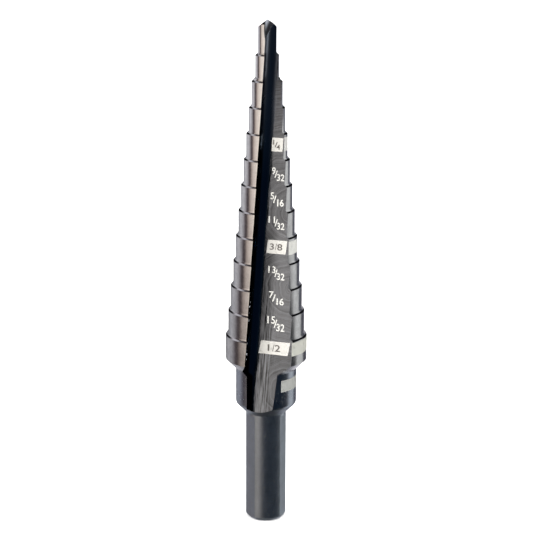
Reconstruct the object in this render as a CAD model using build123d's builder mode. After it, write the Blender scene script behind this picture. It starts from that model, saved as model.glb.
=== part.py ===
from build123d import *
import math
import os

# Step drill with two flutes, a collar and a shank with three flats, in one piece of tool steel.
# Millimetres. The drill stands on its shank with the tip up, and the origin is the centre of the shank's end.
# The front, towards -Y, is the side where one of the two flutes lies open.

# Lengths along the axis, from the tip down
overall_length = 79.375
first_ledge_depth = 4.954
step_height = 3.96875
ledge_height = 0.43
last_land_length = 3.84
collar_length = 5.65
neck_length = 0.3

# Diameters
first_diameter = 3.175
diameter_growth = 0.79375
step_count = 13
collar_diameter = 9.525
shank_diameter = 6.35

# Slopes and edges
back_slope_angle = 45.0
collar_slope_angle = 45.0
collar_edge_radius = 0.75
shank_end_chamfer = 0.57

# Flats on the shank, each at right angles to its azimuth
flat_count = 3
flat_distance = 2.967
flat_azimuth = -24.2

# Split point: each half has two flat facets that fall away from the chisel edge, one behind its lip and
# a steeper one at its heel. A leaning round gash in each flute thins the web to the chisel edge.
lip_facet_slope = 23.7
lip_facet_azimuth = -117.0
heel_facet_slope = 39.0
heel_facet_azimuth = 180.0
chisel_thickness = 0.12
gash_radius = 1.0
gash_azimuth = -59.1
gash_lean = 22.6
gash_lean_azimuth = -93.0

# Relief of the two leading steps: each half is turned on its own axis, moved towards its cutting edge
relieved_steps = 2
land_relief = 0.2
relief_azimuth = -100.0

# Flute: two faces that meet in a round root, cut along a straight line that leans away from the axis
flute_count = 2
web_thickness = 1.25
root_radius = 1.6
flute_azimuth = -46.7
cutting_face_angle = 35.5
number_face_angle = 26.9
flute_lean = 4.93

# In the collar the flute is narrower: its cutting side ends in a slope and goes on as an upright wall
collar_wall_distance = 3.48
collar_wall_depth = 0.5
collar_wall_slope = 45.0

# Radii and levels that follow from these
first_radius = first_diameter / 2
last_diameter = first_diameter + (step_count - 1) * diameter_growth
last_radius = last_diameter / 2
collar_radius = collar_diameter / 2
shank_radius = shank_diameter / 2
first_ledge_top = overall_length - first_ledge_depth
last_land_top = first_ledge_top - ledge_height - (step_count - 2) * step_height
last_land_end = last_land_top - last_land_length
collar_top = last_land_end - (last_radius - collar_radius) * math.tan(math.radians(back_slope_angle))
collar_end = collar_top - collar_length
shank_top = collar_end - (collar_radius - shank_radius) * math.tan(math.radians(collar_slope_angle))
flats_top = shank_top - neck_length

# Section of one flute at the level of the tip, with the root's centre on its own X axis
root_centre = web_thickness / 2 + root_radius
half_opening = math.radians((cutting_face_angle + number_face_angle) / 2)
bisector = math.radians((number_face_angle - cutting_face_angle) / 2)
corner_distance = root_radius / math.sin(half_opening)
corner = Vector(root_centre - corner_distance * math.cos(bisector), -corner_distance * math.sin(bisector))
flute_reach = 4 * last_diameter
cutting_side = Vector(1, 0).rotate(Axis.Z, -cutting_face_angle) * flute_reach
number_side = Vector(1, 0).rotate(Axis.Z, number_face_angle) * flute_reach


def tilt(angle, azimuth):
    """Level vector towards an azimuth, as long as the tangent of an angle."""
    return Vector(math.tan(math.radians(angle)), 0).rotate(Axis.Z, azimuth)


def stepped_profile(count):
    """Outline of that many leading steps, from the rim at the tip's level down to the last step's ledge."""
    points = [(first_radius, overall_length)]
    for step in range(1, count):
        radius = first_radius + step * diameter_growth / 2
        ledge_end = first_ledge_top - ledge_height - (step - 1) * step_height
        points += [(radius - diameter_growth / 2, ledge_end + ledge_height), (radius, ledge_end)]
    return points


with BuildPart() as flute:
    with BuildSketch(Plane.XY.offset(overall_length)) as flute_section:
        with BuildLine():
            Polyline(corner + cutting_side, corner, corner + number_side, close=True)
        make_face()
        fillet(flute_section.vertices().sort_by(Axis.X)[0], root_radius)
    lean = math.tan(math.radians(flute_lean))
    extrude(amount=(overall_length - shank_top) * math.hypot(1, lean), dir=(0, -lean, -1))
    across = Vector(0, 1).rotate(Axis.Z, -cutting_face_angle)
    with BuildSketch(Plane(origin=(0, 0, collar_top), x_dir=across, z_dir=cutting_side)):
        with BuildLine():
            wall_top = (-collar_wall_distance, -collar_wall_depth)
            slope_rise = flute_reach * math.tan(math.radians(collar_wall_slope))
            slope_end = (wall_top[0] - flute_reach, wall_top[1] + slope_rise)
            Polyline((wall_top[0], -flute_reach), wall_top, slope_end, (slope_end[0], -flute_reach), close=True)
        make_face()
    extrude(amount=flute_reach, both=True, mode=Mode.SUBTRACT)

# Gash, a round bar along its own leaning axis, which passes the level of the tip beside the chisel edge
turn = math.radians(gash_azimuth - gash_lean_azimuth)
level_reach = gash_radius / math.hypot(math.cos(turn) * math.cos(math.radians(gash_lean)), math.sin(turn))
gash_centre = Vector(chisel_thickness / 2 + level_reach, 0, overall_length).rotate(Axis.Z, gash_azimuth)
with BuildPart() as gash:
    with BuildSketch(Plane(origin=gash_centre, z_dir=tilt(gash_lean, gash_lean_azimuth) - Vector(0, 0, 1))):
        Circle(gash_radius)
    extrude(amount=first_ledge_depth, both=True)

# What the relief takes off one half of the leading steps, down to the ledge that follows them
relief_end = first_ledge_top - (relieved_steps - 1) * step_height
relieved_radius = first_radius + (relieved_steps - 1) * diameter_growth / 2
with BuildPart() as relief:
    with BuildSketch(Plane.XY.offset(relief_end)):
        Circle(relieved_radius + diameter_growth / 2)
        Rectangle(last_diameter, last_diameter, align=(Align.CENTER, Align.MIN), mode=Mode.SUBTRACT)
    extrude(amount=overall_length - relief_end)
    with BuildSketch(Plane.XZ):
        with BuildLine():
            run_out = ledge_height * land_relief / (diameter_growth / 2)
            core = [(land_relief, overall_length)] + stepped_profile(relieved_steps)
            core += [(relieved_radius, relief_end + run_out), (relieved_radius + land_relief, relief_end)]
            Polyline(*core, (land_relief, relief_end), close=True)
        make_face()
    revolve(axis=Axis((land_relief, 0, 0), (0, 0, 1)), mode=Mode.SUBTRACT)

with BuildPart() as drill:
    # Stepped body, collar and shank, turned in one profile
    with BuildSketch(Plane.XZ):
        with BuildLine():
            profile = [(0, overall_length)] + stepped_profile(step_count)
            profile += [(last_radius, last_land_end), (collar_radius, collar_top)]
            profile += [(collar_radius, collar_end), (shank_radius, shank_top), (shank_radius, 0), (0, 0)]
            Polyline(*profile, close=True)
        make_face()
    revolve(axis=Axis.Z)
    rings = drill.edges().filter_by(GeomType.CIRCLE)
    fillet(rings.sort_by(lambda ring: abs(ring.center().Z - collar_end))[0], collar_edge_radius)
    chamfer(drill.edges().filter_by(GeomType.CIRCLE).sort_by(Axis.Z)[0], shank_end_chamfer)

    # Flats of the shank
    with BuildSketch(Plane.XY):
        with PolarLocations(flat_distance, flat_count, start_angle=flat_azimuth):
            Rectangle(shank_diameter, shank_diameter, align=(Align.MIN, Align.CENTER))
    extrude(amount=flats_top, mode=Mode.SUBTRACT)

    # Flutes
    with PolarLocations(0, flute_count, start_angle=flute_azimuth):
        add(flute.part, mode=Mode.SUBTRACT)

    # Relief of the leading steps, the facets of the point and the gashes
    with PolarLocations(0, flute_count, start_angle=relief_azimuth):
        add(relief.part, mode=Mode.SUBTRACT)
    for slope, azimuth in ((lip_facet_slope, lip_facet_azimuth), (heel_facet_slope, heel_facet_azimuth)):
        for half in range(flute_count):
            facet_normal = tilt(slope, azimuth + half * 360 / flute_count) + Vector(0, 0, 1)
            split(bisect_by=Plane(origin=(0, 0, overall_length), z_dir=facet_normal), keep=Keep.BOTTOM)
    with PolarLocations(0, flute_count):
        add(gash.part, mode=Mode.SUBTRACT)

drill.part.label = "step_drill"

os.makedirs("parts", exist_ok=True)
export_step(drill.part, "parts/step_drill.step")
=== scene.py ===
"""Looks of a step drill: ground steel, size marks in the flute, pale bands and a soft studio."""

import math

import bmesh
import bpy
import numpy as np
from bpy.props import FloatProperty, FloatVectorProperty, PointerProperty
from bpy.types import Operator, Panel, PropertyGroup
from mathutils import Matrix, Vector


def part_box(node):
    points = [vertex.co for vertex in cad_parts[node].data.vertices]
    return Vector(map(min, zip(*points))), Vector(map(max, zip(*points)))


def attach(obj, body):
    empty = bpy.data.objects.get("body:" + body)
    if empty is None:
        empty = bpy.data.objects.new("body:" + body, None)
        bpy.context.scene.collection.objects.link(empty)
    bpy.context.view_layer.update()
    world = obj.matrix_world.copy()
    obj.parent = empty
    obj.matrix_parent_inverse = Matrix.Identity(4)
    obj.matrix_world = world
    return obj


bl_info = {
    "name": "Step Drill",
    "version": (1, 0, 0),
    "blender": (4, 5, 0),
    "location": "View3D > Sidebar > Step Drill",
    "description": "Dresses a step drill in ground steel, marks its sizes and sets a soft studio",
    "category": "Object",
}

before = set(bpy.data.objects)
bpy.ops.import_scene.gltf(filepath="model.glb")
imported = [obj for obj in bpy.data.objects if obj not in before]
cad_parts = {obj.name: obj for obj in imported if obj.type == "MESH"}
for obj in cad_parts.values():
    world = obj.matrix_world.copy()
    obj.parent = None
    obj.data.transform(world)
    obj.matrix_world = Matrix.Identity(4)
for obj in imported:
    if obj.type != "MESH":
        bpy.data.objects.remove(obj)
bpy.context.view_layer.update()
DRILL = "step_drill"
BODY = "root"
MM = 0.001
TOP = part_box(DRILL)[1].z / MM

# The drill's own sizes in millimetres. Depth is counted down from the tip.
FIRST_RADIUS = 1.5875
RADIUS_GROWTH = 0.396875
FIRST_LEDGE = 4.954
STEP_HEIGHT = 3.96875
LEDGE_HEIGHT = 0.43
LAST_LEDGE_END = 49.1
COLLAR_RADIUS = 4.7625
COLLAR_TOP = 54.47
COLLAR_END = 60.12

# Faces of the front flute, each as a normal that points out of the steel and a distance from the tip.
# A point (x, y, depth) is inside the flute where its product with both normals is past the distance.
NUMBER_FACE = (-0.33874, -0.94088, -0.07692)
NUMBER_FACE_AT = -0.59333
CUTTING_FACE = (0.99075, 0.13572, 0.07022)
CUTTING_FACE_AT = -0.30794

# Along the number face the root moves to the left with depth, and at the tip it ends this far right of
# the axis
FLUTE_SHIFT = 0.03903
ROOT_END = 1.984

# In the collar the flute's cutting side is an upright wall, below a slope of 45 degrees
WALL_AT = -3.48
WALL_TOP = 54.97

# Axis of the front gash: its place at the tip's level and how it moves with depth. Its radius and its depth
GASH_PLACE = (0.57266, -0.95684)
GASH_LEAN = (-0.02179, -0.41569)
GASH_RADIUS = 1.0
GASH_END = 4.5

# Finish beside the cutting faces, by the distance inside them: where a flute's own steel begins, the painted
# highlight on the rim of a land, the small nicks with their painted glints and between which depths they
# lie, and where the root's strip of painted shade fades
FLUTE_BEGINS = (-0.03, -0.015)
LAND_RIM_HIGHLIGHT = (-0.16, -0.02)
NICK_GLINTS = (0.3, 0.48)
NICK_GLINTS_DEPTH = (42.0, 53.5)
PAINTED_SHADE_STRIP = (1.15, 0.8)

# Hollow at the top of each ledge: how far down it fades, and how much the normal sinks in it
HOLLOW_FADES = (0.26, 0.16)
HOLLOW_SINKS = 0.65

# Depth above which a surface that faces up is one of the point's facets, which get painted shade
FACETS_END = 2.0

# Arcs of the grinding wheel: how far right of the axis their centres lie, the depths of the centres, and the
# depths at which one centre gives way to the next
WHEEL_RIGHT = 4.8
WHEEL_CENTRES = (29.0, 40.8, 57.0)
WHEEL_CHANGES = (34.0, 50.0)

# Height of the outer and the inner side of a plate or band above the steel
SHEET_SIDES = (0.012, 0.002)

# Digits: their thickness, and for the white ones on steel and the dark ones on a plate the height of their
# middle and their boldness. The dark ones stand a little left of the plate's middle.
DIGIT_THICKNESS = 0.008
WHITE_LIFT = 0.008
WHITE_BOLD = 0.013
DARK_LIFT = 0.018
DARK_BOLD = 0.012
DARK_SHIFT = 0.15


class Wire:
    """A value in a node tree. Arithmetic on wires and numbers adds the Math nodes that work it out."""

    def __init__(self, tree, socket):
        self.tree = tree
        self.socket = socket

    def math(self, operation, *values):
        """Result of a Math node on some values."""
        return add_node(self.tree, "ShaderNodeMath", dict(enumerate(values)), operation=operation)

    def __add__(self, other):
        return self.math("ADD", self, other)

    def __radd__(self, other):
        return self.math("ADD", other, self)

    def __sub__(self, other):
        return self.math("SUBTRACT", self, other)

    def __rsub__(self, other):
        return self.math("SUBTRACT", other, self)

    def __mul__(self, other):
        return self.math("MULTIPLY", self, other)

    def __rmul__(self, other):
        return self.math("MULTIPLY", other, self)

    def root(self):
        """Square root."""
        return self.math("SQRT", self)

    def larger(self, other):
        """The larger of two values."""
        return self.math("MAXIMUM", self, other)

    def smaller(self, other):
        """The smaller of two values."""
        return self.math("MINIMUM", self, other)

    def over(self, low, high):
        """0 below low and 1 above high, with a smooth rise between. With high under low it falls."""
        if high < low:
            return 1.0 - self.over(high, low)
        limits = {"Value": self, "From Min": low, "From Max": high}
        return add_node(self.tree, "ShaderNodeMapRange", limits, interpolation_type="SMOOTHSTEP")

    def band(self, low, high, soft):
        """1 between low and high, with soft borders that are centred on them."""
        return self.over(low - soft, low + soft) * self.over(high + soft, high - soft)


def add_node(tree, kind, inputs, out=0, stops=None, **settings):
    """One node. Its settings and stops are set first, then the values or wires of its sockets.
    Gives one output as a wire."""
    node = tree.nodes.new(kind)
    for name, value in settings.items():
        setattr(node, name, value)
    if stops:
        ramp = node.color_ramp.elements
        while len(ramp) < len(stops):
            ramp.new(1.0)
        for element, (place, colour) in zip(ramp, stops):
            element.position = place
            element.color = colour
    for name, value in inputs.items():
        if isinstance(value, Wire):
            tree.links.new(value.socket, node.inputs[name])
        else:
            node.inputs[name].default_value = value
    return Wire(tree, node.outputs[out])


def rgb(red, green, blue):
    """Linear colour of an sRGB colour from 0 to 255, by the sRGB curve."""
    share = np.array([red, green, blue]) / 255.0
    linear = np.where(share <= 0.04045, share / 12.92, ((share + 0.055) / 1.055) ** 2.4)
    return (*linear.tolist(), 1.0)


def mix(tree, factor, first, second):
    """Colour between two colours."""
    return add_node(tree, "ShaderNodeMix", {0: factor, 6: first, 7: second}, 2, data_type="RGBA")


def shade(tree, colour, factor):
    """Colour times a value, which darkens it below 1 and brightens it above."""
    if isinstance(colour, tuple):
        colour = colour[:3]
    return stretch(tree, colour, join(tree, factor, factor, factor))


def noise(tree, vector, scale, detail=2.0, roughness=0.5):
    """Fractal noise from 0 to 1."""
    sockets = {"Vector": vector, "Scale": scale, "Detail": detail, "Roughness": roughness}
    return add_node(tree, "ShaderNodeTexNoise", sockets)


def stretch(tree, vector, scales):
    """The vector or colour times a scale on each of its three parts."""
    return add_node(tree, "ShaderNodeVectorMath", {0: vector, 1: scales}, operation="MULTIPLY")


def join(tree, x, y, z):
    """Vector of three values."""
    return add_node(tree, "ShaderNodeCombineXYZ", {0: x, 1: y, 2: z})


def new_material(name):
    """An empty material with nodes. Gives the material, its tree and its output node."""
    material = bpy.data.materials.new(name)
    material.use_nodes = True
    material.node_tree.nodes.clear()
    output = material.node_tree.nodes.new("ShaderNodeOutputMaterial")
    return material, material.node_tree, output


def places(tree):
    """Object coordinates in millimetres: the vector, x, y and the depth below the tip."""
    coordinates = add_node(tree, "ShaderNodeTexCoord", {}, "Object")
    point = stretch(tree, coordinates, (1 / MM, 1 / MM, 1 / MM))
    x, y, z = (add_node(tree, "ShaderNodeSeparateXYZ", {0: point}, axis) for axis in range(3))
    return point, x, y, TOP - z


def flute_distances(x, y, depth):
    """How far a point lies inside each side of one flute, as the plane's product with the point.
    The cutting side is the nearer of its face and, in the collar, of its wall, which leans outwards above
    its top."""
    number = NUMBER_FACE[0] * x + NUMBER_FACE[1] * y + NUMBER_FACE[2] * depth - NUMBER_FACE_AT
    level = CUTTING_FACE[0] * x + CUTTING_FACE[1] * y
    wall = level - WALL_AT + (WALL_TOP - depth).larger(0.0)
    return number, (level + CUTTING_FACE[2] * depth - CUTTING_FACE_AT).smaller(wall)


def gash_distance(x, y, depth):
    """Distance from the axis of one gash, by the level offset from it less its share along the axis."""
    right = x - (depth * GASH_LEAN[0] + GASH_PLACE[0])
    forward = y - (depth * GASH_LEAN[1] + GASH_PLACE[1])
    along = right * GASH_LEAN[0] + forward * GASH_LEAN[1]
    squared = 1.0 + GASH_LEAN[0] ** 2 + GASH_LEAN[1] ** 2
    return (right * right + forward * forward - along * along * (1 / squared)).root()


def land_normal(tree, depth):
    """Normal of the turned surfaces. The upper half of a ledge is a hollow that runs on from the land above
    it, so its normal sinks there."""
    normal = add_node(tree, "ShaderNodeNewGeometry", {}, "Normal")
    below = depth - FIRST_LEDGE
    below = below.math("FLOORED_MODULO", below, STEP_HEIGHT)
    ledge = below.over(LEDGE_HEIGHT + 0.02, LEDGE_HEIGHT) * depth.band(FIRST_LEDGE, LAST_LEDGE_END, 0.02)
    rise = ledge * below.over(*HOLLOW_FADES) * -HOLLOW_SINKS
    bent = add_node(tree, "ShaderNodeVectorMath", {0: normal, 1: join(tree, 0.0, 0.0, rise)},
                    operation="ADD")
    return add_node(tree, "ShaderNodeVectorMath", {0: bent}, operation="NORMALIZE")


def bump(tree, height, micrometres, normal=None):
    """Normal over a height from 0 to 1 that stands for so many micrometres."""
    inputs = {"Height": height, "Strength": 1.0, "Distance": micrometres * 1e-6}
    if normal:
        inputs["Normal"] = normal
    return add_node(tree, "ShaderNodeBump", inputs)


class DrillPlaces:
    """Places on the drill that its finishes share: coordinates, distances inside the flutes' sides, masks
    that are 1 inside their place and 0 outside it, and two noises. The back is the front turned by half a
    turn."""

    def __init__(self, tree):
        self.point, self.x, self.y, self.depth = places(tree)
        x, y, depth = self.x, self.y, self.depth
        self.number_front, self.cutting_front = flute_distances(x, y, depth)
        self.number_back, self.cutting_back = flute_distances(0.0 - x, 0.0 - y, depth)
        self.front = self.number_front.over(*FLUTE_BEGINS) * self.cutting_front.over(*FLUTE_BEGINS)
        self.back = self.number_back.over(*FLUTE_BEGINS) * self.cutting_back.over(*FLUTE_BEGINS)
        self.flute = self.front.larger(self.back)
        self.side = self.front.over(0.4, 0.6) * 2.0 - 1.0
        self.across = self.side * (x * -NUMBER_FACE[1] + y * NUMBER_FACE[0])
        self.along = self.across + depth * FLUTE_SHIFT
        self.turned = depth.over(COLLAR_TOP - 0.1, COLLAR_TOP + 0.1)
        self.lower = depth.over(COLLAR_END - 0.1, COLLAR_END + 0.3)
        gash_front = gash_distance(x, y, depth).over(GASH_RADIUS + 0.05, GASH_RADIUS + 0.02)
        gash_back = gash_distance(0.0 - x, 0.0 - y, depth).over(GASH_RADIUS + 0.05, GASH_RADIUS + 0.02)
        self.gash = gash_front.larger(gash_back) * depth.over(GASH_END, GASH_END - 0.2)
        self.rings = noise(tree, stretch(tree, self.point, (0.25, 0.25, 6.0)), 1.0, 4.0, 0.65)
        self.blotches = noise(tree, self.point, 0.5, 3.0, 0.55)


def land_steel(tree, at, settings, normal):
    """Steel of the lands, ground round the axis. Each has a painted highlight along its cutting edge, and
    the point's facets, which face up, get painted shade."""
    mottle = noise(tree, stretch(tree, at.point, (1.3, 1.3, 0.9)), 1.0, 4.0, 0.6)
    # Painted highlight: a bright rim along the cutting edge of each land
    near_front = at.cutting_front.band(*LAND_RIM_HIGHLIGHT, 0.03) * at.number_front.over(0.0, 0.4)
    near_back = at.cutting_back.band(*LAND_RIM_HIGHLIGHT, 0.03) * at.number_back.over(0.0, 0.4)
    rim_highlight = near_front.larger(near_back) * (1.0 - at.flute) * (1.0 - at.turned) * mottle.over(0.3, 0.5)
    colour = mix(tree, rim_highlight, (*settings.land_colour, 1.0), (*settings.rim_highlight_colour, 1.0))
    plain_normal = add_node(tree, "ShaderNodeNewGeometry", {}, "Normal")
    rise = add_node(tree, "ShaderNodeSeparateXYZ", {0: plain_normal}, 2)
    # Painted shade: the point's facets, which face up, are darkened
    facet_shade = rise.over(0.5, 0.6) * at.depth.over(FACETS_END, FACETS_END - 0.1)
    tone = (mottle * 0.55 + at.rings * 0.15 + 0.65) * (1.0 - facet_shade * 0.85)
    return add_node(tree, "ShaderNodeBsdfPrincipled", {
        "Base Color": shade(tree, colour, tone),
        "Metallic": 1.0,
        "Roughness": mottle * 0.1 + 0.14,
        "Anisotropic": 0.5,
        "Anisotropic Rotation": 0.25,
        "Normal": bump(tree, at.rings, 1.5, normal)})


def wheel_arcs(tree, at):
    """Arcs of the grinding wheel, as a noise on the distance from a centre right of the axis. The centre
    jumps down at each change."""
    centre = WHEEL_CENTRES[0]
    for change, above, below in zip(WHEEL_CHANGES, WHEEL_CENTRES, WHEEL_CENTRES[1:]):
        centre = at.depth.over(change - 0.1, change + 0.1) * (below - above) + centre
    sideways = at.across - WHEEL_RIGHT
    upright = at.depth - centre
    radius = (sideways * sideways + upright * upright).root() + at.blotches
    return noise(tree, join(tree, radius * 2.6, 0.0, 0.0), 1.0, 4.0, 0.75).over(0.32, 0.68)


def flute_steel(tree, at, settings):
    """Steel of the flutes: a root with painted shade, a number face with straight streaks near the root and
    arcs of the wheel, the gashes at the tip with painted light and shade, and small nicks beside the front
    cutting edge, painted as pale glints."""
    depth = at.depth
    streaks = noise(tree, join(tree, at.along * 4.5, 0.0, depth * 0.16), 1.0, 4.0, 0.7).over(0.3, 0.7)
    cloud = noise(tree, stretch(tree, at.point, (0.9, 0.9, 0.45)), 1.0, 3.0, 0.6)
    streaky = at.along.over(ROOT_END + 3.4, ROOT_END + 1.0) * depth.over(36.0, 48.0)
    grain = streaky * streaks + (1.0 - streaky) * wheel_arcs(tree, at)
    border = at.along + depth.over(50.0, 55.0) * 0.18
    face = (border + streaks * 0.6).over(ROOT_END + 0.15, ROOT_END + 0.45) * at.flute

    # Root, with painted shade that grows with depth and is deepest beside both faces
    beside_front = at.cutting_front.over(*PAINTED_SHADE_STRIP) * at.front
    beside_back = at.cutting_back.over(*PAINTED_SHADE_STRIP) * at.back
    corner = border.over(ROOT_END - 0.55, ROOT_END - 0.1).larger(beside_front.larger(beside_back))
    depth_shade = depth.over(9.0, 26.0)
    root_colour = mix(tree, depth_shade, (*settings.root_colour, 1.0), (*settings.root_shade_colour, 1.0))
    root_colour = shade(tree, root_colour, 1.0 - corner * depth.over(12.0, 22.0) * 0.93)

    # Number face, lighter towards its outer edge in the middle of the drill
    lean = (at.along.over(ROOT_END + 0.4, ROOT_END + 2.6) - 0.6) * depth.band(31.0, 50.0, 2.0) * 0.75
    tone = (grain - 0.5) * (streaky + 0.85) + cloud * 0.7 + lean + 0.65
    face_colour = shade(tree, (*settings.face_colour, 1.0), tone * (depth.over(7.5, 10.5) * 0.88 + 0.12))
    colour = mix(tree, face, root_colour, face_colour)

    # Gashes, with painted light along their upper left side that turns to painted shade beyond it, and nicks
    # painted as pale glints
    slant = at.side * at.x + depth * 0.49
    light = slant.over(0.7, 0.05) * 0.9 + slant.over(1.0, 1.18) * depth.over(1.5, 2.3) * 0.2 + 0.06
    colour = mix(tree, at.gash, colour, shade(tree, (*settings.gash_colour, 1.0), light))
    # Nicks beside the front cutting edge, painted as pale glints
    nicks_and_glints = noise(tree, at.point, 2.4, 0.0).over(0.63, 0.69) * at.cutting_front.band(*NICK_GLINTS, 0.03)
    nicks_and_glints = nicks_and_glints * at.number_front.over(0.0, 0.4) * depth.band(*NICK_GLINTS_DEPTH, 1.0)
    return add_node(tree, "ShaderNodeBsdfPrincipled", {
        "Base Color": mix(tree, nicks_and_glints, colour, rgb(150, 152, 156)),
        "Metallic": 1.0 - nicks_and_glints.larger(at.gash * 0.6),
        "Roughness": face * 0.2 + at.gash * 0.2 + depth.over(20.0, 8.0) * 0.1 + 0.16 + cloud * 0.08,
        "Specular Tint": rgb(50, 56, 64),
        "Normal": bump(tree, grain * face, 4.0)})


def turned_steel(tree, at, settings, normal):
    """Steel of the collar and shank, turned smooth, a little stained and with a few pale specks."""
    worn = noise(tree, at.point, 4.6, 0.0).over(0.72, 0.78) * (1.0 - at.flute)
    colour = mix(tree, at.lower, (*settings.collar_colour, 1.0), (*settings.shank_colour, 1.0))
    colour = shade(tree, colour, at.blotches * 0.4 + at.rings * 0.1 + 0.75)
    return add_node(tree, "ShaderNodeBsdfPrincipled", {
        "Base Color": mix(tree, worn, colour, rgb(200, 204, 208)),
        "Metallic": 1.0 - worn * 0.07 - at.lower * 0.008,
        "Roughness": at.lower * 0.08 + at.blotches * 0.08 + 0.24,
        "Anisotropic": 0.3,
        "Anisotropic Rotation": 0.25,
        "Normal": normal})


def steel_material(settings):
    """Tool steel of the whole drill: the lands, below them the collar and shank, and the flutes and gashes
    over both."""
    material, tree, output = new_material("tool_steel")
    at = DrillPlaces(tree)
    normal = land_normal(tree, at.depth)
    land = land_steel(tree, at, settings, normal)
    turned = turned_steel(tree, at, settings, normal)
    ground = flute_steel(tree, at, settings)
    outside = add_node(tree, "ShaderNodeMixShader", {0: at.turned, 1: land, 2: turned})
    steel = add_node(tree, "ShaderNodeMixShader", {0: at.flute.larger(at.gash), 1: outside, 2: ground})
    tree.links.new(steel.socket, output.inputs["Surface"])
    return material


def mark_material(name, colour, rough, stain, painted_shade=0.0):
    """Frosted marking: one colour with a fine grain and soft stains in its brightness.
    With painted shade it gets darker towards the left, towards the flute's root."""
    material, tree, output = new_material(name)
    point, x, _, _ = places(tree)
    grain = noise(tree, point, 6.0, 3.0, 0.6)
    stains = noise(tree, point, 1.4, 3.0, 0.6).over(0.5, 0.75)
    tone = 1.06 - grain * 0.12 - stains * stain - x.over(2.8, -2.0) * painted_shade
    paint = add_node(tree, "ShaderNodeBsdfPrincipled", {
        "Base Color": shade(tree, (*colour[:3], 1.0), tone), "Roughness": grain * 0.2 + rough})
    tree.links.new(paint.socket, output.inputs["Surface"])
    return material


def mesh_piece(name, points, faces, material):
    """A piece whose object sits at the origin, with its place in its mesh. It rides on the drill."""
    mesh = bpy.data.meshes.new(name)
    mesh.from_pydata(points.tolist(), [], faces)
    mesh.update()
    piece = bpy.data.objects.new(name, mesh)
    bpy.context.scene.collection.objects.link(piece)
    mesh.materials.append(material)
    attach(piece, BODY)
    return piece


def slab(outer, inner):
    """Closed sheet between two grids of points of the same size, the first one outside.
    The grids' cells are its two sides, and a strip of quads joins their borders."""
    rows, columns = outer.shape[:2]
    total = rows * columns
    points = np.concatenate([outer.reshape(-1, 3), inner.reshape(-1, 3)])
    index = np.arange(total).reshape(rows, columns)
    cells = np.stack([index[:-1, :-1], index[:-1, 1:], index[1:, 1:], index[1:, :-1]], -1).reshape(-1, 4)
    loop = np.concatenate([index[0, :-1], index[:-1, -1], index[-1, :0:-1], index[:0:-1, 0]])
    after = np.roll(loop, -1)
    border = np.stack([after, loop, loop + total, after + total], -1)
    return points, np.concatenate([cells, cells[:, ::-1] + total, border]).tolist()


# Number face as a frame of its own: the level axis to the right, the one up the face and the outward normal
FACE_NORMAL = np.array([NUMBER_FACE[0], NUMBER_FACE[1], -NUMBER_FACE[2]])
FACE_NORMAL = FACE_NORMAL / np.linalg.norm(FACE_NORMAL)
FACE_RIGHT = np.cross(FACE_NORMAL, (0, 0, -1))
FACE_RIGHT = FACE_RIGHT / np.linalg.norm(FACE_RIGHT)
FACE_UP = np.cross(FACE_NORMAL, FACE_RIGHT)


def on_face(right, depth, lift):
    """Points of the number face in metres, from their places to the right of the axis, their depths and a
    lift. On the level the face stands off the axis by its distance less the depth's share in it."""
    right, depth = np.asarray(right)[..., None], np.asarray(depth)[..., None]
    level = np.array([NUMBER_FACE[0], NUMBER_FACE[1], 0.0])
    out = (NUMBER_FACE_AT - NUMBER_FACE[2] * depth) / (level @ level)
    upright = np.array([0.0, 0.0, 1.0])
    return (upright * (TOP - depth) + FACE_RIGHT * right + level * out + FACE_NORMAL * lift) * MM


def glyph(character, bold):
    """One character as a thin closed plate, with the lower left corner of its box at the origin."""
    curve = bpy.data.curves.new("glyph", "FONT")
    curve.body = character
    curve.extrude = 0.5
    curve.offset = bold
    curve.resolution_u = 5
    part = bpy.data.objects.new("glyph", curve)
    bpy.context.scene.collection.objects.link(part)
    bpy.context.view_layer.update()
    mesh = bpy.data.meshes.new_from_object(part)
    bpy.data.objects.remove(part)
    shell = bmesh.new()
    shell.from_mesh(mesh)
    bmesh.ops.remove_doubles(shell, verts=shell.verts, dist=1e-5)
    bmesh.ops.recalc_face_normals(shell, faces=shell.faces)
    points = np.array([vertex.co for vertex in shell.verts])
    faces = [[vertex.index for vertex in face.verts] for face in shell.faces]
    shell.free()
    bpy.data.meshes.remove(mesh)
    points[:, :2] -= points[:, :2].min(0)
    return points, faces


def fraction_cells(label, stepped):
    """Cells of a fraction's characters: start, width, bottom and height of each, as shares of the whole.
    The digits' cells are equally wide, and the slash overlaps its neighbours. In a stepped fraction the
    numerator stands up left and the denominator down right, otherwise all are on one line."""
    digits_before = label.index("/")
    gap = 0.12 if stepped else 0.35
    middle = digits_before + gap / 2
    total = len(label) - 1 + gap
    cells = []
    for place, character in enumerate(label):
        if character == "/":
            start, wide = (middle - 0.36, 0.72) if stepped else (middle - 0.16, 0.32)
            bottom, tall = (0.22, 0.56) if stepped else (0.0, 1.0)
        else:
            start = (place if place < digits_before else place - 1 + gap) + 0.05
            wide, bottom, tall = 0.9, 0.0, 1.0
            if stepped:
                bottom, tall = (0.48, 0.52) if place < digits_before else (0.0, 0.52)
        cells.append((character, start / total, wide / total, bottom, tall))
    return cells


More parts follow.
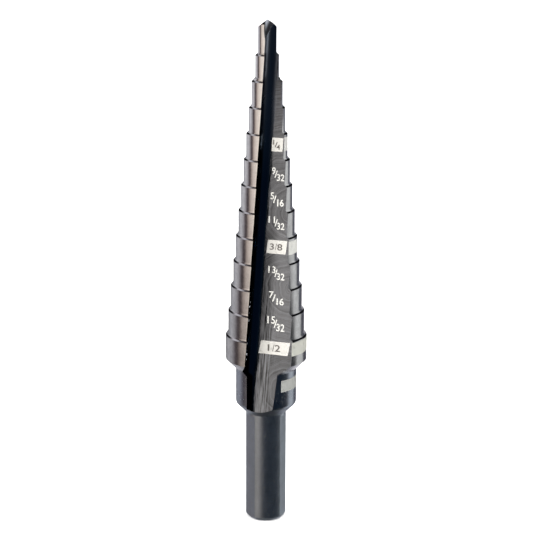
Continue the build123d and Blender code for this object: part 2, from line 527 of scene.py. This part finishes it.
def fraction_piece(name, label, right, depth, lift, size, stepped, bold, material):
    """A fraction on the number face. Each character is scaled to its cell. The slash fills it, and a digit
    has the share of its width that it has of a 0, with the 1 a little broader. Most of the spare width goes
    to the left of a digit, and to the right of the first one."""
    measure = glyph("0", bold)[0].max(0)
    points, faces, count = [], [], 0
    for character, start, wide, bottom, tall in fraction_cells(label, stepped):
        spots, plates = glyph(character, bold)
        spread = spots.max(0) if character == "/" else measure
        broad = 1.2 if character == "1" else 1.0
        spots = spots * (broad * wide * size[0] / spread[0], tall * size[1] / spread[1], DIGIT_THICKNESS)
        spare = 0.0 if character == "/" else wide * size[0] - spots[:, 0].max()
        margin = (0.7 if points else 0.3) * spare
        points.append(spots + ((start - 0.5) * size[0] + margin, (bottom - 0.5) * size[1], 0.0))
        faces += [[count + corner for corner in plate] for plate in plates]
        count += len(spots)
    axes = np.array([FACE_RIGHT, FACE_UP, FACE_NORMAL]) * MM
    place = on_face(right, depth, lift)
    return mesh_piece(name, place + np.concatenate(points) @ axes, faces, material)


class StepDrillSettings(PropertyGroup):
    """Colours of the steel and sizes of the marks."""

    land_colour: FloatVectorProperty(
        name="Lands", description="Steel of the lands",
        subtype="COLOR", default=rgb(236, 235, 236)[:3], min=0, max=1)
    # Painted highlight on the rim of each land's cutting edge
    rim_highlight_colour: FloatVectorProperty(
        name="Cutting edges", description="Bright rim of the lands",
        subtype="COLOR", default=rgb(255, 253, 250)[:3], min=0, max=1)
    root_colour: FloatVectorProperty(
        name="Flute root", description="Steel in the flute's root near the tip",
        subtype="COLOR", default=rgb(158, 166, 178)[:3], min=0, max=1)
    # Painted shade: the flute's root further down, darker than near the tip
    root_shade_colour: FloatVectorProperty(
        name="Deep flute root", description="Steel in the flute's root further down",
        subtype="COLOR", default=rgb(66, 92, 120)[:3], min=0, max=1)
    gash_colour: FloatVectorProperty(
        name="Gashes", description="Ground steel of the gashes at the tip",
        subtype="COLOR", default=rgb(150, 153, 161)[:3], min=0, max=1)
    face_colour: FloatVectorProperty(
        name="Number face", description="Ground face that carries the sizes",
        subtype="COLOR", default=rgb(178, 184, 192)[:3], min=0, max=1)
    collar_colour: FloatVectorProperty(
        name="Collar", description="Turned steel of the collar",
        subtype="COLOR", default=rgb(196, 203, 216)[:3], min=0, max=1)
    shank_colour: FloatVectorProperty(
        name="Shank", description="Turned steel of the shank",
        subtype="COLOR", default=rgb(200, 208, 218)[:3], min=0, max=1)
    plate_height: FloatProperty(
        name="Plate height", description="Height of a pale plate in the flute",
        subtype="DISTANCE", unit="LENGTH", default=0.00208, min=0.0005, max=0.004)


# White size marks on the steel: label, middle to the right on the face, its depth, width and height
WHITE_MARKS = (
    ("9/32", 2.27, 23.28, 2.09, 2.03),
    ("5/16", 2.21, 27.12, 2.26, 2.1),
    ("11/32", 2.18, 30.74, 2.78, 2.0),
    ("13/32", 2.41, 38.5, 2.84, 2.07),
    ("7/16", 2.6, 42.4, 2.51, 2.03),
    ("15/32", 2.58, 46.4, 3.03, 2.31),
)
# Pale plates: label, middle, depth, width, lean of the sides in degrees, size of the fraction and whether
# it is stepped
PLATES = (
    ("1/4", 1.96, 18.8, 1.84, 3.1, (1.3, 1.5), True),
    ("3/8", 2.41, 34.45, 3.11, 6.6, (2.2, 1.0), False),
    ("1/2", 2.51, 50.24, 4.76, 10.0, (2.35, 1.08), False),
)
# Pale bands on the lands right of the flute: name, radius, first and last azimuth from the front, middle
# depth, height and colour
BANDS = (
    ("band_1_4", FIRST_RADIUS + 4 * RADIUS_GROWTH, 55.0, 96.0, 18.7, 2.1, (158, 157, 154)),
    ("band_3_8", FIRST_RADIUS + 8 * RADIUS_GROWTH, 45.0, 96.0, 34.55, 2.1, (162, 162, 157)),
    ("band_1_2", FIRST_RADIUS + 12 * RADIUS_GROWTH, 38.2, 96.0, 50.22, 2.15, (147, 147, 139)),
    ("band_collar", COLLAR_RADIUS, 29.5, 84.0, 56.45, 1.9, (129, 130, 126)),
)


class STEPDRILL_OT_steel(Operator):
    """Gives the drill its ground and turned steel"""

    bl_idname = "step_drill.steel"
    bl_label = "Steel"

    def execute(self, context):
        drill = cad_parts[DRILL]
        material = steel_material(context.scene.step_drill)
        drill.data.materials.clear()
        drill.data.materials.append(material)
        return {"FINISHED"}


class STEPDRILL_OT_size_marks(Operator):
    """Puts the size fractions on the number face, three of them on pale plates"""

    bl_idname = "step_drill.size_marks"
    bl_label = "Size marks"

    def execute(self, context):
        height = context.scene.step_drill.plate_height / MM
        # The pale plates get painted shade towards the flute's root on their left
        pale = mark_material("pale_plate", rgb(191, 188, 181), 0.5, 0.16, 0.24)
        white = mark_material("white_mark", rgb(202, 200, 193), 0.5, 0.05)
        dark = mark_material("dark_mark", rgb(84, 78, 74), 0.5, 0.1)
        for label, right, depth, width, tall in WHITE_MARKS:
            fraction_piece("size_" + label.replace("/", "_"), label, right, depth, WHITE_LIFT,
                           (width, tall), True, WHITE_BOLD, white)
        for label, right, depth, width, lean, size, stepped in PLATES:
            name = label.replace("/", "_")
            across, up = np.meshgrid(np.linspace(-0.5, 0.5, 5), np.linspace(-0.5, 0.5, 3))
            slant = math.tan(math.radians(lean))
            grid = [on_face(right + across * width + up * height * slant, depth - up * height, lift)
                    for lift in SHEET_SIDES]
            mesh_piece("plate_" + name, *slab(*grid), pale)
            fraction_piece("size_" + name, label, right - DARK_SHIFT, depth, DARK_LIFT, size,
                           stepped, DARK_BOLD, dark)
        return {"FINISHED"}


class STEPDRILL_OT_bands(Operator):
    """Puts the pale bands on the lands right of the flute and on the collar"""

    bl_idname = "step_drill.bands"
    bl_label = "Pale bands"

    def execute(self, context):
        for name, radius, first, last, depth, height, colour in BANDS:
            pale = mark_material("pale_" + name, rgb(*colour), 0.45, 0.25)
            turn = np.radians(np.linspace(first, last, 33))
            azimuth, level = np.meshgrid(turn, np.linspace(-0.5, 0.5, 3))
            grid = []
            for lift in SHEET_SIDES:
                x = (radius + lift) * np.sin(azimuth)
                y = -(radius + lift) * np.cos(azimuth)
                grid.append(np.stack([x, y, TOP - depth + level * height], -1) * MM)
            mesh_piece(name, *slab(*grid), pale)
        return {"FINISHED"}


# Camera: its place in metres, its pitch and roll in radians, and its lens and sensor in millimetres
CAMERA_PLACE = Vector((0.0, -0.260, 0.107592))
CAMERA_PITCH = 0.2502
CAMERA_ROLL = 0.0036
CAMERA_LENS = 116.85
SENSOR = 36.0

# Light that the steel mirrors, by the azimuth in degrees from the camera's side to the right. The table is
# what lies below the horizon, the walls stand above it, and one colour lies overhead.
TABLE = (
    (-180, (140, 140, 146)), (-160, (160, 160, 166)), (-138, (204, 204, 209)), (-126, (210, 209, 214)),
    (-116, (190, 188, 192)), (-107, (164, 160, 164)), (-100, (98, 89, 92)), (-95, (84, 75, 77)),
    (-90, (84, 76, 77)), (-86, (122, 110, 107)), (-81, (184, 169, 161)), (-74, (216, 202, 192)),
    (-66, (240, 226, 215)), (-56, (255, 244, 232)),
    (-34, (255, 243, 233)), (-26, (150, 148, 148)), (-14, (58, 66, 76)), (-6, (34, 45, 58)),
    (30, (34, 45, 58)), (60, (42, 52, 63)), (76, (64, 69, 75)), (86, (74, 76, 79)),
    (90, (92, 93, 94)), (98, (205, 206, 206)), (104, (214, 216, 215)), (125, (216, 218, 218)),
    (131, (132, 134, 140)), (136, (92, 93, 102)), (148, (96, 98, 108)), (155, (160, 160, 170)),
    (166, (190, 190, 196)), (180, (140, 140, 146)),
)
WALLS = (
    (-180, (14, 13, 16)), (-138, (14, 14, 18)), (-130, (60, 58, 60)), (-124, (190, 188, 194)),
    (-108, (190, 188, 194)), (-100, (60, 54, 54)), (-80, (44, 38, 38)), (-60, (60, 54, 52)),
    (-50, (150, 142, 136)), (-30, (150, 142, 136)), (-15, (40, 44, 50)), (0, (20, 26, 34)),
    (60, (20, 26, 34)), (90, (12, 13, 16)), (140, (12, 13, 16)), (180, (14, 13, 16)),
)
OVERHEAD = (70, 62, 62)


def studio_world():
    """Light that the steel reflects: a table below the horizon, walls above it and a dim ceiling.
    A turn of 0.5 is the camera's side, and a full turn is 1. The elevation is in degrees."""
    world = bpy.data.worlds.new("studio")
    bpy.context.scene.world = world
    world.use_nodes = True
    tree = world.node_tree
    tree.nodes.clear()
    output = tree.nodes.new("ShaderNodeOutputWorld")
    direction = add_node(tree, "ShaderNodeTexCoord", {}, "Generated")
    x, y, z = (add_node(tree, "ShaderNodeSeparateXYZ", {0: direction}, axis) for axis in range(3))
    turn = x.math("ARCTAN2", x, 0.0 - y) * (0.5 / math.pi) + 0.5
    elevation = z.math("ARCSINE", z) * (180 / math.pi)
    low, high = (add_node(tree, "ShaderNodeValToRGB", {0: turn}, 0,
                          stops=[(0.5 + angle / 360, rgb(*colour)) for angle, colour in lights])
                 for lights in (TABLE, WALLS))
    fall = add_node(tree, "ShaderNodeMapRange", {"Value": elevation, "From Min": -18.0, "From Max": -8.0,
                                                 "To Min": 0.5, "To Max": 1.0})
    # Patches of the table that are lighter or darker than the rest: on the left, on the right and behind
    left = turn.band(0.5 - 84 / 360, 0.5 - 16 / 360, 0.015) * (
        elevation.over(-8.5, -10.5) * 0.2 - elevation.over(-14.5, -19.0) * 0.87)
    left = left - turn.band(0.5 - 42 / 360, 0.5 - 10 / 360, 0.02) * elevation.over(-17.5, -19.5) * 0.17
    right = turn.band(0.5 + 96 / 360, 0.5 + 132 / 360, 0.015) * elevation.over(-16.5, -18.5) * 0.9
    behind = turn.over(0.5 + 150 / 360, 0.5 + 165 / 360) + turn.over(0.5 - 150 / 360, 0.5 - 165 / 360)
    patches = left + right + behind * elevation.over(-18.5, -21.0) * 1.6 + 1.0
    low = shade(tree, low, fall * (elevation.over(-65.0, -45.0) * 0.8 + 0.2) * patches)
    both = mix(tree, elevation.over(-4.0, 0.0), low, high)
    both = mix(tree, elevation.over(54.0, 62.0), both, rgb(*OVERHEAD))
    background = add_node(tree, "ShaderNodeBackground", {"Color": both, "Strength": 1.0})
    tree.links.new(background.socket, output.inputs["Surface"])


def cove(flat, rise, count, low):
    """Round floor with a flat middle, whose rim sweeps up in a quarter circle and goes on as an upright
    wall. Its profile of radius and level is turned round the axis."""
    bend = np.radians(np.linspace(0, 90, 19))
    radius = np.concatenate([[0.02, flat / 2], flat + rise * np.sin(bend), [flat + rise]])
    level = np.concatenate([[0, 0], rise - rise * np.cos(bend), [2 * rise]]) + low
    turn = np.linspace(0, 2 * math.pi, count, endpoint=False)
    points = np.stack([np.outer(radius, np.cos(turn)), np.outer(radius, np.sin(turn)),
                       np.repeat(level[:, None], count, 1)], -1).reshape(-1, 3)
    index = np.arange(len(points)).reshape(len(radius), count)
    after = np.roll(index, -1, 1)
    cells = np.stack([index[:-1], index[1:], after[1:], after[:-1]], -1).reshape(-1, 4)
    return points.tolist(), [*cells.tolist(), index[0].tolist()]


def studio_lamp(name, kind, turn, strength, **settings):
    """A soft lamp that the steel doesn't mirror, because it mirrors the world's lights."""
    lamp = bpy.data.lights.new(name, kind)
    lamp.energy = strength
    for setting, value in settings.items():
        setattr(lamp, setting, value)
    light = bpy.data.objects.new(name, lamp)
    light.rotation_euler = turn
    light.visible_glossy = False
    bpy.context.scene.collection.objects.link(light)


class STEPDRILL_OT_studio(Operator):
    """Sets the pale floor, the soft light and the camera"""

    bl_idname = "step_drill.studio"
    bl_label = "Studio"

    def execute(self, context):
        material, tree, output = new_material("pale_floor")
        point, _, _, _ = places(tree)
        tone = noise(tree, point, 0.002, 2.0)
        paint = add_node(tree, "ShaderNodeBsdfPrincipled", {
            "Base Color": mix(tree, tone, rgb(250, 250, 250), rgb(246, 246, 246)), "Roughness": 0.9})
        tree.links.new(paint.socket, output.inputs["Surface"])
        mesh = bpy.data.meshes.new("floor")
        points, faces = cove(flat=2.5, rise=1.5, count=96, low=-0.00002)
        mesh.from_pydata(points, [], faces)
        mesh.shade_smooth()
        floor = bpy.data.objects.new("floor", mesh)
        floor.visible_glossy = False
        floor.visible_shadow = False
        context.scene.collection.objects.link(floor)
        mesh.materials.append(material)
        studio_world()
        studio_lamp("soft_sun", "SUN", (math.radians(25), 0, 0), 6.0, angle=math.radians(130))
        camera = bpy.data.objects.new("camera", bpy.data.cameras.new("camera"))
        camera.data.lens = CAMERA_LENS
        camera.data.sensor_width = SENSOR
        camera.data.clip_start = 0.01
        turn = Matrix.Rotation(math.pi / 2 - CAMERA_PITCH, 4, "X") @ Matrix.Rotation(CAMERA_ROLL, 4, "Z")
        camera.matrix_world = Matrix.Translation(CAMERA_PLACE) @ turn
        context.scene.collection.objects.link(camera)
        context.scene.camera = camera
        context.scene.view_settings.view_transform = "Standard"
        return {"FINISHED"}


class STEPDRILL_PT_panel(Panel):
    """Lists the steps that dress the drill"""

    bl_label = "Step Drill"
    bl_idname = "STEPDRILL_PT_panel"
    bl_space_type = "VIEW_3D"
    bl_region_type = "UI"
    bl_category = "Step Drill"

    def draw(self, context):
        for operator in OPERATORS:
            self.layout.operator(operator.bl_idname)


OPERATORS = (STEPDRILL_OT_steel, STEPDRILL_OT_size_marks, STEPDRILL_OT_bands, STEPDRILL_OT_studio)
CLASSES = (StepDrillSettings, *OPERATORS, STEPDRILL_PT_panel)


def register():
    """Registers the classes and the settings of the scene."""
    for item in CLASSES:
        bpy.utils.register_class(item)
    bpy.types.Scene.step_drill = PointerProperty(type=StepDrillSettings)


def unregister():
    """Removes what register adds."""
    del bpy.types.Scene.step_drill
    for item in reversed(CLASSES):
        bpy.utils.unregister_class(item)


def main():
    """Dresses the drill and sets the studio."""
    register()
    bpy.ops.step_drill.steel()
    bpy.ops.step_drill.size_marks()
    bpy.ops.step_drill.bands()
    bpy.ops.step_drill.studio()
    bpy.context.view_layer.update()


if __name__ == "__main__":
    main()
